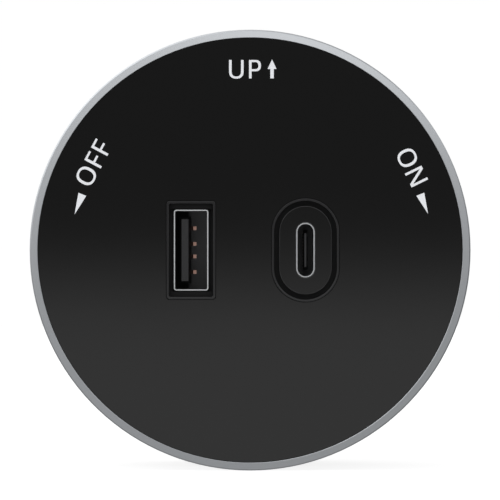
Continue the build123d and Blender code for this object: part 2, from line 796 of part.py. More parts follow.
# Power board: turns mains voltage into the low charging voltage
with BuildPart() as power_board:
    with BuildSketch(facing(power_back)):
        Circle(inner_radius - board_edge_gap)
        Circle(wire_hole_radius, mode=Mode.SUBTRACT)
        with Locations(*boss_places):
            Circle(boss_radius + boss_room, mode=Mode.SUBTRACT)
        with Locations(*power_screw_places):
            Circle(small_screw_radius + fit_gap, mode=Mode.SUBTRACT)
        with Locations((link_pin_x, 0)):
            with GridLocations(0, link_pin_pitch, 1, link_pin_count):
                Circle(link_pin_radius + running_gap, mode=Mode.SUBTRACT)
    extrude(amount=board_thickness)
save(power_board.part, "power_board")

# Transformer: ferrite core with two windows, and the taped winding on its middle leg
transformer_z = port_board_width / 2 + port_board_room + winding[1] / 2

with BuildPart() as transformer_core:
    with BuildSketch(facing(power_front)):
        with Locations((0, transformer_z)):
            Rectangle(core[0], core[1])
    extrude(amount=core[2])
    with BuildSketch(facing(power_front + (core[2] - core_window[1]) / 2)):
        with Locations((0, transformer_z)):
            with GridLocations(core_leg + core_window[0], 0, 2, 1):
                Rectangle(core_window[0], core[1])
    extrude(amount=core_window[1], mode=Mode.SUBTRACT)
save(transformer_core.part, "transformer_core")

with BuildPart() as transformer_winding:
    with BuildSketch(facing(power_front + (core[2] - winding[2]) / 2)):
        with Locations((0, transformer_z)):
            RectangleRounded(winding[0], winding[1], winding_corner)
            Rectangle(core_leg + 2 * fit_gap, core[1] + 2 * fit_gap, mode=Mode.SUBTRACT)
    extrude(amount=winding[2])
save(transformer_winding.part, "transformer_winding")

# Capacitors that store the rectified mains
bulk_z = -(port_board_width / 2 + port_board_room + bulk_radius)

with BuildPart() as bulk_capacitors:
    with BuildSketch(facing(power_front)):
        with Locations(*[(x, bulk_z) for x in bulk_x]):
            Circle(bulk_radius)
    extrude(amount=bulk_height)
    fillet(edges_at(bulk_capacitors, power_front + bulk_height), radius=can_edge)
save(bulk_capacitors.part, "bulk_capacitors")

# Box capacitor that keeps switching noise out of the mains
with BuildPart() as box_capacitor:
    with BuildSketch(facing(power_front)):
        with Locations((inner_radius - box_cap_inset, 0)):
            Rectangle(box_cap[0], box_cap[1])
    extrude(amount=box_cap[2])
    fillet(edges_at(box_capacitor, power_front + box_cap[2]), radius=can_edge)
save(box_capacitor.part, "box_capacitor")

# Ring choke standing on the power board
choke_middle = (choke_inset - inner_radius, -(power_front + choke_major + choke_minor), 0)

with BuildPart() as mains_choke:
    with Locations(Location(choke_middle, (0, 90, 0))):
        Torus(choke_major, choke_minor)
save(mains_choke.part, "mains_choke")

# Fuse lying on the power board
with BuildPart() as mains_fuse:
    with Locations((fuse_x, -(power_front + fuse_radius), 0)):
        Cylinder(fuse_radius, fuse_length)
save(mains_fuse.part, "mains_fuse")


# Flat block on the power board, from its (x, z, height) size
def chip(size, place):
    with BuildPart() as block:
        with BuildSketch(facing(power_front)):
            with Locations(place):
                Rectangle(size[0], size[1])
        extrude(amount=size[2])
    return block.part


save(chip(rectifier, rectifier_place), "bridge_rectifier")
save(chip(switching_chip_size, switching_chip_place), "switching_chip")

# Locking head: neck, drum that turns in the slot, wings that catch behind the lips, hollow stem
blade_windows = [(live_depth, [1]), (neutral_depth, [-1]), (earth_depth, [1, -1])]

with BuildPart() as lock_head:
    with BuildSketch(facing(wing_back)):
        Circle(wing_radius)
        Rectangle(4 * wing_radius, head_width, mode=Mode.INTERSECT)
    extrude(amount=wing_thickness)
    chamfer(edges_at(lock_head, wing_front), length=wing_chamfer)
    with BuildSketch(facing(stem_back)):
        RectangleRounded(stem_length, head_width, stem_corner)
    extrude(amount=wing_back - stem_back)
    with BuildSketch(facing(wing_back)):
        Circle(head_width / 2)
    extrude(amount=drum_front - wing_back)
    with BuildSketch(facing(wing_back)):
        Circle(neck_radius)
    extrude(amount=cover_back - running_gap - wing_back)
    with BuildSketch(facing(wing_back)):
        Circle(neck_radius)
        Rectangle(4 * neck_radius, neck_flats, mode=Mode.INTERSECT)
    extrude(amount=nut_front + neck_proud - wing_back)
    with BuildSketch(facing(stem_back)):
        RectangleRounded(hollow_length, hollow_width, hollow_corner)
        with Locations(*cap_boss_places):
            Circle(cap_boss_radius, mode=Mode.SUBTRACT)
    extrude(amount=hollow_front - stem_back, mode=Mode.SUBTRACT)
    with BuildSketch(facing(hollow_front)):
        Circle(neck_bore)
    extrude(amount=nut_front + neck_proud - hollow_front, mode=Mode.SUBTRACT)
    with BuildSketch(facing(stem_back)):
        with Locations(*cap_boss_places):
            Circle(small_screw_radius + running_gap)
    extrude(amount=small_screw_length, mode=Mode.SUBTRACT)
    for depth, sides in blade_windows:
        with BuildSketch(facing(-depth - blade_thickness - running_gap)):
            with Locations(*[(side * (stem_length - end_wall) / 2, 0) for side in sides]):
                Rectangle(2 * end_wall, blade_width + 2 * running_gap)
        extrude(amount=blade_thickness + 2 * running_gap, mode=Mode.SUBTRACT)
save(lock_head.part, "lock_head")

# Nut that clamps the neck to the rear cover
with BuildPart() as neck_nut:
    with BuildSketch(facing(cover_inside)):
        RegularPolygon(neck_radius + nut_wall, 6, major_radius=False)
        Circle(neck_radius + running_gap, mode=Mode.SUBTRACT)
    extrude(amount=nut_thickness)
save(neck_nut.part, "neck_nut")

# Cap that closes the stem behind the earth strap
with BuildPart() as head_cap:
    with BuildSketch(facing(cap_back)):
        RectangleRounded(stem_length, head_width, stem_corner)
    extrude(amount=cap_thickness)
    chamfer(edges_at(head_cap, cap_back), length=cap_edge)
    with BuildSketch(facing(cap_back)):
        with Locations(*cap_boss_places):
            Circle(small_screw_radius + fit_gap)
    extrude(amount=cap_thickness, mode=Mode.SUBTRACT)
save(head_cap.part, "head_cap")


# Copper blade moulded into one end wall of the stem: side is 1 on the right and -1 on the left
def blade(side, depth):
    root_outer = hollow_length / 2 - running_gap
    root_inner = root_outer - root_length
    with BuildPart() as strip:
        with BuildSketch(facing(-depth - blade_thickness)):
            with Locations((side * (root_inner + blade_tip) / 2, 0)):
                Rectangle(blade_tip - root_inner, blade_width)
        extrude(amount=blade_thickness)
        corners = strip.edges().filter_by(Axis.Y).sort_by(Axis.X, reverse=side > 0)
        fillet(corners[:2], radius=blade_corner)
        with BuildSketch(facing(-depth - blade_thickness)):
            with Locations((side * (root_inner + root_outer) / 2, 0)):
                Rectangle(root_length, blade_width + 2 * root_step)
        extrude(amount=blade_thickness)
    return strip.part


save(blade(1, live_depth), "live_blade")
save(blade(-1, neutral_depth), "neutral_blade")

# Earth strap: lies in open windows under the cap and shows at both ends
with BuildPart() as earth_strap:
    with BuildSketch(facing(-earth_depth - blade_thickness)):
        RectangleRounded(2 * earth_tip, blade_width, blade_corner)
        with Locations(*cap_boss_places):
            Circle(cap_boss_radius + fit_gap, mode=Mode.SUBTRACT)
    extrude(amount=blade_thickness)
save(earth_strap.part, "earth_strap")

# Detents: a ball on a spring in each pocket of the cover
spring_foot = ball_height + ball_radius + spring_wire
spring_rise = pocket_top - spring_wire - spring_foot

for name, angle in (("upper", detent_angle), ("lower", detent_angle + 180)):
    x, z = on_circle(detent_radius, [angle])[0]
    with BuildPart() as detent_ball:
        with Locations((x, -ball_height, z)):
            Sphere(ball_radius)
    save(detent_ball.part, f"detent_ball_{name}")
    coil = Helix(spring_pitch, spring_rise, spring_coil, center=(x, -spring_foot, z), direction=(0, -1, 0))
    with BuildPart() as detent_spring:
        with BuildSketch(Plane(origin=coil @ 0, z_dir=coil % 0)):
            Circle(spring_wire)
        sweep(path=coil, is_frenet=True)
    save(detent_spring.part, f"detent_spring_{name}")

# Insulated wires: from the blades, through the neck, to the power board
wire_turn = hollow_front - 2 * wire_radius
wire_top = power_front + wire_rise
wire_x = hollow_length / 2 - wire_inset[0]
wire_z = hollow_width / 2 - wire_inset[1]
neck_lanes = on_circle(neck_bore - wire_neck_gap - wire_radius, [-60, 120, 30])
wire_routes = {
    "live_wire": [
        (wire_x, -wire_z, -live_depth),
        (wire_x, -wire_z, wire_turn),
        (*neck_lanes[0], wire_turn),
        (*neck_lanes[0], wire_top),
        (8.0, -5.0, wire_top),
        (8.0, -5.0, power_front),
    ],
    "neutral_wire": [
        (-wire_x, wire_z, -neutral_depth),
        (-wire_x, wire_z, wire_turn),
        (*neck_lanes[1], wire_turn),
        (*neck_lanes[1], wire_top),
        (-6.5, 3.0, wire_top),
        (-6.5, 3.0, power_front),
    ],
    "earth_wire": [
        (*neck_lanes[2], -earth_depth),
        (*neck_lanes[2], wire_top),
        (6.0, 7.0, wire_top),
        (6.0, 7.0, power_front),
    ],
}

for name, corners in wire_routes.items():
    bends = [end_bend, neck_bend, neck_bend, end_bend][-(len(corners) - 2):]
    with BuildPart() as wire:
        with BuildLine() as route:
            FilletPolyline(*[(x, -height, z) for x, z, height in corners], radius=bends)
        with BuildSketch(Plane(origin=route.line @ 0, z_dir=route.line % 0)):
            Circle(wire_radius)
        sweep(path=route.line)
    save(wire.part, name)
    length = sum(run.length for run in route.edges())
    print(name, "bend radii", bends, "length", round(length, 2), "volume", round(wire.part.volume, 2))
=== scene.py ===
import json
from math import copysign, cos, pi, radians, sin

import bpy
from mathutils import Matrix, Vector


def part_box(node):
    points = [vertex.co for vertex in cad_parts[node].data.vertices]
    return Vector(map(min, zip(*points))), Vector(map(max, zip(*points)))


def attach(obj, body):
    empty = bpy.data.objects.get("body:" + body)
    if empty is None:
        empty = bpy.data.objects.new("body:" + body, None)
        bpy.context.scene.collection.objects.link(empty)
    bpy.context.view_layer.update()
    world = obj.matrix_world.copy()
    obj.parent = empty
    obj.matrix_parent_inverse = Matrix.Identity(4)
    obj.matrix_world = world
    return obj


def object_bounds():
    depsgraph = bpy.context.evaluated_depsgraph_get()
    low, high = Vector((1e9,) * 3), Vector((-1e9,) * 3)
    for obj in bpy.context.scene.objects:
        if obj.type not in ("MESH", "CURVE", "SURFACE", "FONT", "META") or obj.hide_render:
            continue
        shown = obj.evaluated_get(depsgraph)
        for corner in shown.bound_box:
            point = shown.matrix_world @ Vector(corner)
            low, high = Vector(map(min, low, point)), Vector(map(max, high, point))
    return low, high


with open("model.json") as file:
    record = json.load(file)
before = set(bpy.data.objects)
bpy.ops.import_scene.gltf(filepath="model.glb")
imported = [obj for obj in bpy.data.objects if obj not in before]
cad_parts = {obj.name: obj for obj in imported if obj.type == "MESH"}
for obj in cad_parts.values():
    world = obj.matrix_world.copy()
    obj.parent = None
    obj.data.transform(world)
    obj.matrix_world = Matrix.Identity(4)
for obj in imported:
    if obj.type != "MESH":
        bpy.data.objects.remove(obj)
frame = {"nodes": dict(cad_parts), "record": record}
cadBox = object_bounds()
print("frame loaded:", len(frame["nodes"]), "nodes")

bpy.context.scene.view_settings.view_transform = "Standard"  # white stays white

mmPerMetre = 1000
toneA, toneB, mixed = 6, 7, 2  # a Mix node's colour sockets, which share their names with others


def linear(hexColour):  # sRGB hex to the linear colour that shaders take
    channels = [int(hexColour[i:i + 2], 16) / 255 for i in (1, 3, 5)]
    return [c / 12.92 if c < 0.04045 else ((c + 0.055) / 1.055) ** 2.4 for c in channels] + [1]


def perMm(size):  # texture scale for a pattern whose features are this many millimetres wide
    return mmPerMetre / size


def waveScale(gap):  # the same for a Wave texture, whose lines are pi / 10 apart at scale 1
    return pi / 10 * perMm(gap)


def newFinish(name, colour, roughness, sockets):
    finish = bpy.data.materials.new(name)
    finish.use_nodes = True
    shader = finish.node_tree.nodes["Principled BSDF"]
    shader.inputs["Base Color"].default_value = linear(colour)
    shader.inputs["Roughness"].default_value = roughness
    for socket, value in sockets.items():
        shader.inputs[socket].default_value = value
    return finish, finish.node_tree, shader


def connect(tree, node, links):
    for key, source in links.items():
        tree.links.new(source, node.inputs[key])


def addNode(tree, kind, settings, links):
    node = tree.nodes.new(kind)
    for key, value in settings.items():
        if isinstance(key, int) or key in node.inputs:
            node.inputs[key].default_value = value
        else:
            setattr(node, key, value)
    connect(tree, node, links)
    return node


def paintRamp(ramp, tones):  # a new ramp has its first and last stops already
    for position, _ in tones[1:-1]:
        ramp.elements.new(position)
    for stop, (position, tone) in zip(ramp.elements, tones):
        stop.position, stop.color = position, linear(tone)


# Cast acrylic, polished: a deep black mirror with a trace of haze
def polishedAcrylic():
    finish, tree, shader = newFinish("polishedAcrylic", "#020202", 0.05, {"IOR": 1.42})
    coords = addNode(tree, "ShaderNodeTexCoord", {}, {})
    haze = addNode(tree, "ShaderNodeTexNoise", {"Scale": perMm(16), "Detail": 3.0},
                   {"Vector": coords.outputs["Object"]})
    spread = addNode(tree, "ShaderNodeMapRange", {"To Min": 0.05, "To Max": 0.08},
                     {"Value": haze.outputs["Fac"]})
    connect(tree, shader, {"Roughness": spread.outputs["Result"]})
    return finish


# ABS: black, polished in front and spark eroded in its wells, which leaves them dull with a fine
# grit. Pale lines painted round each port stand in for highlights on its rounded edges
portEdgeHighlights = {  # along Y, in metres
    "front": -0.036,
    "back": -0.035,
    "tones": [  # each at a share of the way from front to back
        (0.0, "#1c1c1d"), (0.02, "#2f2f30"), (0.1, "#2f2f30"), (0.14, "#020202"),
        (0.302, "#020202"), (0.31, "#464647"), (0.36, "#464647"), (0.39, "#020202"),
        (0.5, "#020202"), (0.7, "#0d0d0e"),
    ],
    "polishEnds": -0.0355,
    "gritStarts": -0.0353,
}


def absWithPaintedHighlights():
    finish, tree, shader = newFinish("absWithPaintedHighlights", "#020202", 0.12, {"IOR": 1.42})
    coords = addNode(tree, "ShaderNodeTexCoord", {}, {})
    place = addNode(tree, "ShaderNodeSeparateXYZ", {}, {"Vector": coords.outputs["Object"]})
    behindFace = addNode(tree, "ShaderNodeMapRange",
                         {"From Min": portEdgeHighlights["front"], "From Max": portEdgeHighlights["back"]},
                         {"Value": place.outputs["Y"]})
    # painted highlights: pale bands along the rounded port edges
    tint = addNode(tree, "ShaderNodeValToRGB", {}, {"Fac": behindFace.outputs["Result"]})
    paintRamp(tint.color_ramp, portEdgeHighlights["tones"])
    sunk = addNode(tree, "ShaderNodeMapRange",
                   {"From Min": portEdgeHighlights["polishEnds"], "From Max": portEdgeHighlights["gritStarts"]},
                   {"Value": place.outputs["Y"]})
    grit = addNode(tree, "ShaderNodeTexNoise", {"Scale": perMm(0.2), "Detail": 3.0},
                   {"Vector": coords.outputs["Object"]})
    spread = addNode(tree, "ShaderNodeMapRange", {"To Min": 0.08, "To Max": 0.8},
                     {"Value": sunk.outputs["Result"]})
    relief = addNode(tree, "ShaderNodeMath", {"operation": "MULTIPLY"},
                     {0: sunk.outputs["Result"], 1: grit.outputs["Fac"]})
    skin = addNode(tree, "ShaderNodeBump", {"Strength": 0.4, "Distance": 0.00003},
                   {"Height": relief.outputs["Value"]})
    connect(tree, shader, {"Base Color": tint.outputs["Color"],
                           "Roughness": spread.outputs["Result"],
                           "Normal": skin.outputs["Normal"]})
    return finish


# Anodised aluminium, fine turned: satin grey with faint rings round the axis, and painted shade
# from its outer edge back, a shade darker there than in front
outerEdgeShade = {"ends": -0.03621, "shadeFull": -0.03617}  # along Y, in metres


def turnedAluminium():
    finish, tree, shader = newFinish("turnedAluminium", "#e6e7e9", 0.36, {"Metallic": 1.0})
    coords = addNode(tree, "ShaderNodeTexCoord", {}, {})
    rings = addNode(tree, "ShaderNodeTexWave",  # tool marks, drawn coarser than real ones
                    {"wave_type": "RINGS", "rings_direction": "Y", "Scale": waveScale(0.12),
                     "Distortion": 0.4, "Detail": 1.0},
                    {"Vector": coords.outputs["Object"]})
    grain = addNode(tree, "ShaderNodeTexNoise", {"Scale": perMm(0.25), "Detail": 3.0},
                    {"Vector": coords.outputs["Object"]})
    place = addNode(tree, "ShaderNodeSeparateXYZ", {}, {"Vector": coords.outputs["Object"]})
    side = addNode(tree, "ShaderNodeMapRange",
                   {"From Min": outerEdgeShade["ends"], "From Max": outerEdgeShade["shadeFull"]},
                   {"Value": place.outputs["Y"]})
    front = addNode(tree, "ShaderNodeMix",
                    {"data_type": "RGBA", toneA: linear("#e0e4e8"), toneB: linear("#e6e9ed")},
                    {"Factor": grain.outputs["Fac"]})
    # painted shade: darker from the outer edge back
    tint = addNode(tree, "ShaderNodeMix", {"data_type": "RGBA", toneB: linear("#c2c5c9")},
                   {"Factor": side.outputs["Result"], toneA: front.outputs[mixed]})
    spread = addNode(tree, "ShaderNodeMapRange", {"To Min": 0.33, "To Max": 0.4},
                     {"Value": grain.outputs["Fac"]})
    marks = addNode(tree, "ShaderNodeBump", {"Strength": 0.08, "Distance": 0.00001},
                    {"Height": rings.outputs["Fac"]})
    connect(tree, shader, {"Base Color": tint.outputs[mixed],
                           "Roughness": spread.outputs["Result"],
                           "Normal": marks.outputs["Normal"]})
    return finish


# Polycarbonate in a spark-eroded mould: matte black with a fine leather-like grain
def grainedPolycarbonate():
    finish, tree, shader = newFinish("grainedPolycarbonate", "#151516", 0.5, {"IOR": 1.58})
    coords = addNode(tree, "ShaderNodeTexCoord", {}, {})
    grain = addNode(tree, "ShaderNodeTexVoronoi", {"feature": "SMOOTH_F1", "Scale": perMm(0.35)},
                    {"Vector": coords.outputs["Object"]})
    cloud = addNode(tree, "ShaderNodeTexNoise", {"Scale": perMm(7), "Detail": 3.0},
                    {"Vector": coords.outputs["Object"]})
    tint = addNode(tree, "ShaderNodeMix",
                   {"data_type": "RGBA", toneA: linear("#111112"), toneB: linear("#18181a")},
                   {"Factor": cloud.outputs["Fac"]})
    spread = addNode(tree, "ShaderNodeMapRange", {"To Min": 0.44, "To Max": 0.56},
                     {"Value": cloud.outputs["Fac"]})
    skin = addNode(tree, "ShaderNodeBump", {"Strength": 0.35, "Distance": 0.00004},
                   {"Height": grain.outputs["Distance"]})
    connect(tree, shader, {"Base Color": tint.outputs[mixed],
                           "Roughness": spread.outputs["Result"],
                           "Normal": skin.outputs["Normal"]})
    return finish


# Glass-filled nylon, moulded: charcoal with short pale fibre streaks near the surface
def filledNylon():
    finish, tree, shader = newFinish("filledNylon", "#2a2a2c", 0.42, {"IOR": 1.53})
    coords = addNode(tree, "ShaderNodeTexCoord", {}, {})
    along = addNode(tree, "ShaderNodeMapping", {"Scale": (1, 0.25, 0.4)},
                    {"Vector": coords.outputs["Object"]})
    fibres = addNode(tree, "ShaderNodeTexNoise",
                     {"Scale": perMm(0.3), "Detail": 4.0, "Roughness": 0.7},
                     {"Vector": along.outputs["Vector"]})
    tint = addNode(tree, "ShaderNodeMix",
                   {"data_type": "RGBA", toneA: linear("#222224"), toneB: linear("#363639")},
                   {"Factor": fibres.outputs["Fac"]})
    spread = addNode(tree, "ShaderNodeMapRange", {"To Min": 0.34, "To Max": 0.52},
                     {"Value": fibres.outputs["Fac"]})
    skin = addNode(tree, "ShaderNodeBump", {"Strength": 0.15, "Distance": 0.00003},
                   {"Height": fibres.outputs["Fac"]})
    connect(tree, shader, {"Base Color": tint.outputs[mixed],
                           "Roughness": spread.outputs["Result"],
                           "Normal": skin.outputs["Normal"]})
    return finish


# Acetal, turned from bar: waxy off-white with faint rings
def naturalAcetal():
    finish, tree, shader = newFinish("naturalAcetal", "#e4e2da", 0.35, {"IOR": 1.48})
    coords = addNode(tree, "ShaderNodeTexCoord", {}, {})
    rings = addNode(tree, "ShaderNodeTexWave",
                    {"wave_type": "RINGS", "rings_direction": "Y", "Scale": waveScale(0.2)},
                    {"Vector": coords.outputs["Object"]})
    tint = addNode(tree, "ShaderNodeMix",
                   {"data_type": "RGBA", toneA: linear("#dfddd4"), toneB: linear("#e9e7df")},
                   {"Factor": rings.outputs["Fac"]})
    connect(tree, shader, {"Base Color": tint.outputs[mixed]})
    return finish


# Steel strip under matt nickel plating, folded: dull with fine rolling lines down the tube, with
# painted highlights along the two mouths, 35.3 and 34.8 mm out, and painted shade just behind each
mouthHighlightAndShade = {  # along Y, in metres
    "front": -0.0354,
    "back": -0.0344,
    "tones": [  # each at a share of the way from front to back
        (0.0, "#dcdee0"), (0.11, "#dcdee0"), (0.14, "#5c5e60"), (0.57, "#5c5e60"),
        (0.59, "#dcdee0"), (0.61, "#dcdee0"), (0.64, "#5c5e60"), (1.0, "#8c8e90"),
    ],
}


def nickelledSteel():
    finish, tree, shader = newFinish("nickelledSteel", "#8c8e90", 0.3, {"Metallic": 0.5})
    coords = addNode(tree, "ShaderNodeTexCoord", {}, {})
    place = addNode(tree, "ShaderNodeSeparateXYZ", {}, {"Vector": coords.outputs["Object"]})
    behindMouth = addNode(tree, "ShaderNodeMapRange",
                          {"From Min": mouthHighlightAndShade["front"], "From Max": mouthHighlightAndShade["back"]},
                          {"Value": place.outputs["Y"]})
    # painted highlights at the two mouths, painted shade just behind each
    tint = addNode(tree, "ShaderNodeValToRGB", {}, {"Fac": behindMouth.outputs["Result"]})
    paintRamp(tint.color_ramp, mouthHighlightAndShade["tones"])
    along = addNode(tree, "ShaderNodeMapping", {"Scale": (1, 0.04, 1)},
                    {"Vector": coords.outputs["Object"]})
    lines = addNode(tree, "ShaderNodeTexNoise", {"Scale": perMm(0.12), "Detail": 3.0},
                    {"Vector": along.outputs["Vector"]})
    spread = addNode(tree, "ShaderNodeMapRange", {"To Min": 0.24, "To Max": 0.38},
                     {"Value": lines.outputs["Fac"]})
    marks = addNode(tree, "ShaderNodeBump", {"Strength": 0.1, "Distance": 0.00001},
                    {"Height": lines.outputs["Fac"]})
    connect(tree, shader, {"Base Color": tint.outputs["Color"],
                           "Roughness": spread.outputs["Result"],
                           "Normal": marks.outputs["Normal"]})
    return finish


# Liquid crystal polymer, moulded: a dull grey front where it was trimmed, painted shade in black on
# the tapered nose behind it, and painted light in grey again deeper in, so each tongue has a dark
# outline. The painted light stops at the narrow side of the USB-A tongue, which stays black as
# painted shade, and the USB-C piece on the right is a shade paler
insulatorZones = {  # axis, and where each zone begins and is complete, in metres
    "nose": ("Y", -0.03409, -0.03405),
    "deepLight": ("Y", -0.0325, -0.027),
    "wideSideShade": ("X", -0.0101, -0.0097),
    "usbC": ("X", -0.001, 0.001),
}


def crystalPolymer():
    finish, tree, shader = newFinish("crystalPolymer", "#2e2e2f", 0.55, {"IOR": 1.47})
    coords = addNode(tree, "ShaderNodeTexCoord", {}, {})
    place = addNode(tree, "ShaderNodeSeparateXYZ", {}, {"Vector": coords.outputs["Object"]})
    zones = {}
    for name, (axis, start, end) in insulatorZones.items():
        zone = addNode(tree, "ShaderNodeMapRange", {"From Min": start, "From Max": end},
                       {"Value": place.outputs[axis]})
        zones[name] = zone.outputs["Result"]
    # painted light deeper in, kept off the narrow side of the USB-A tongue
    paintedLightMask = addNode(tree, "ShaderNodeMath", {"operation": "MULTIPLY"},
                     {0: zones["deepLight"], 1: zones["wideSideShade"]})
    flow = addNode(tree, "ShaderNodeTexNoise",
                   {"Scale": perMm(0.8), "Detail": 4.0, "Distortion": 1.5},
                   {"Vector": coords.outputs["Object"]})
    skin = addNode(tree, "ShaderNodeMix",
                   {"data_type": "RGBA", toneA: linear("#28282a"), toneB: linear("#2f2f30")},
                   {"Factor": flow.outputs["Fac"]})
    trimmed = addNode(tree, "ShaderNodeMix", {"data_type": "RGBA", toneB: linear("#343436")},
                      {"Factor": zones["usbC"], toneA: skin.outputs[mixed]})
    # painted shade: black on the tapered nose
    front = addNode(tree, "ShaderNodeMix", {"data_type": "RGBA", toneB: linear("#030303")},
                    {"Factor": zones["nose"], toneA: trimmed.outputs[mixed]})
    tint = addNode(tree, "ShaderNodeMix", {"data_type": "RGBA", toneB: linear("#727274")},
                   {"Factor": paintedLightMask.outputs["Value"], toneA: front.outputs[mixed]})
    connect(tree, shader, {"Base Color": tint.outputs[mixed]})
    return finish


# Phosphor bronze with a thin gold flash on the crest that touches the plug: pinkish and bright
# there, and brown beside the tongue as painted shade, where the strip slopes down in shadow
goldCrestAndShade = {"shadeEnds": -0.00911, "crestStarts": -0.00907}  # along X, in metres


def flashedBronze():
    finish, tree, shader = newFinish("flashedBronze", "#c39c8f", 0.35, {"Metallic": 1.0})
    coords = addNode(tree, "ShaderNodeTexCoord", {}, {})
    place = addNode(tree, "ShaderNodeSeparateXYZ", {}, {"Vector": coords.outputs["Object"]})
    outOfShade = addNode(tree, "ShaderNodeMapRange",
                      {"From Min": goldCrestAndShade["shadeEnds"], "From Max": goldCrestAndShade["crestStarts"]},
                      {"Value": place.outputs["X"]})
    wear = addNode(tree, "ShaderNodeTexNoise", {"Scale": perMm(0.4), "Detail": 3.0},
                   {"Vector": coords.outputs["Object"]})
    gold = addNode(tree, "ShaderNodeMix",
                   {"data_type": "RGBA", toneA: linear("#bd9384"), toneB: linear("#c9a699")},
                   {"Factor": wear.outputs["Fac"]})
    # painted shade: brown beside the tongue
    tint = addNode(tree, "ShaderNodeMix", {"data_type": "RGBA", toneA: linear("#36261f")},
                   {"Factor": outOfShade.outputs["Result"], toneB: gold.outputs[mixed]})
    connect(tree, shader, {"Base Color": tint.outputs[mixed]})
    return finish


# Rolled copper: salmon, with grain along the strip and brown bloom where it was handled
def rolledCopper():
    finish, tree, shader = newFinish("rolledCopper", "#d08a68", 0.32, {"Metallic": 1.0})
    coords = addNode(tree, "ShaderNodeTexCoord", {}, {})
    along = addNode(tree, "ShaderNodeMapping", {"Scale": (0.05, 1, 1)},
                    {"Vector": coords.outputs["Object"]})
    lines = addNode(tree, "ShaderNodeTexNoise", {"Scale": perMm(0.15), "Detail": 3.0},
                    {"Vector": along.outputs["Vector"]})
    bloom = addNode(tree, "ShaderNodeTexNoise", {"Scale": perMm(3), "Detail": 4.0},
                    {"Vector": coords.outputs["Object"]})
    tint = addNode(tree, "ShaderNodeMix",
                   {"data_type": "RGBA", toneA: linear("#b06a4a"), toneB: linear("#e2a07c")},
                   {"Factor": bloom.outputs["Fac"]})
    spread = addNode(tree, "ShaderNodeMapRange", {"To Min": 0.25, "To Max": 0.42},
                     {"Value": lines.outputs["Fac"]})
    marks = addNode(tree, "ShaderNodeBump", {"Strength": 0.12, "Distance": 0.00001},
                    {"Height": lines.outputs["Fac"]})
    connect(tree, shader, {"Base Color": tint.outputs[mixed],
                           "Roughness": spread.outputs["Result"],
                           "Normal": marks.outputs["Normal"]})
    return finish


# Zinc-plated steel: bluish grey with soft cloudy patches
def zincPlate():
    finish, tree, shader = newFinish("zincPlate", "#b4b7bb", 0.33, {"Metallic": 1.0})
    coords = addNode(tree, "ShaderNodeTexCoord", {}, {})
    cloud = addNode(tree, "ShaderNodeTexNoise", {"Scale": perMm(1.2), "Detail": 4.0},
                    {"Vector": coords.outputs["Object"]})
    tint = addNode(tree, "ShaderNodeMix",
                   {"data_type": "RGBA", toneA: linear("#a3a7ad"), toneB: linear("#c6c8c9")},
                   {"Factor": cloud.outputs["Fac"]})
    spread = addNode(tree, "ShaderNodeMapRange", {"To Min": 0.25, "To Max": 0.42},
                     {"Value": cloud.outputs["Fac"]})
    connect(tree, shader, {"Base Color": tint.outputs[mixed],
                           "Roughness": spread.outputs["Result"]})
    return finish


# Spring and ball steel, hardened: bright with a faint straw tint
def hardenedSteel():
    finish, tree, shader = newFinish("hardenedSteel", "#c9c7c2", 0.18, {"Metallic": 1.0})
    coords = addNode(tree, "ShaderNodeTexCoord", {}, {})
    straw = addNode(tree, "ShaderNodeTexNoise", {"Scale": perMm(0.9), "Detail": 2.0},
                    {"Vector": coords.outputs["Object"]})
    tint = addNode(tree, "ShaderNodeMix",
                   {"data_type": "RGBA", toneA: linear("#bdbbb8"), toneB: linear("#d2cdc0")},
                   {"Factor": straw.outputs["Fac"]})
    connect(tree, shader, {"Base Color": tint.outputs[mixed]})
    return finish


# Glass-epoxy laminate under green solder mask: the weave shows through the lacquer
def boardLaminate():
    finish, tree, shader = newFinish("boardLaminate", "#1c5a3a", 0.3, {"IOR": 1.5})
    coords = addNode(tree, "ShaderNodeTexCoord", {}, {})
    warp, weft = (addNode(tree, "ShaderNodeTexWave",
                          {"bands_direction": axis, "Scale": waveScale(0.8)},
                          {"Vector": coords.outputs["Object"]}) for axis in "XZ")
    weave = addNode(tree, "ShaderNodeMath", {"operation": "MULTIPLY"},
                    {0: warp.outputs["Fac"], 1: weft.outputs["Fac"]})
    tint = addNode(tree, "ShaderNodeMix",
                   {"data_type": "RGBA", toneA: linear("#174e32"), toneB: linear("#236847")},
                   {"Factor": weave.outputs["Value"]})
    connect(tree, shader, {"Base Color": tint.outputs[mixed]})
    return finish


# Ferrite, pressed and sintered: dull charcoal with a fine speckle
def sinteredFerrite():
    finish, tree, shader = newFinish("sinteredFerrite", "#39393b", 0.62, {"IOR": 1.9})
    coords = addNode(tree, "ShaderNodeTexCoord", {}, {})
    speckle = addNode(tree, "ShaderNodeTexNoise", {"Scale": perMm(0.2), "Detail": 2.0},
                      {"Vector": coords.outputs["Object"]})
    tint = addNode(tree, "ShaderNodeMix",
                   {"data_type": "RGBA", toneA: linear("#2f2f31"), toneB: linear("#454547")},
                   {"Factor": speckle.outputs["Fac"]})
    skin = addNode(tree, "ShaderNodeBump", {"Strength": 0.2, "Distance": 0.00003},
                   {"Height": speckle.outputs["Fac"]})
    connect(tree, shader, {"Base Color": tint.outputs[mixed], "Normal": skin.outputs["Normal"]})
    return finish


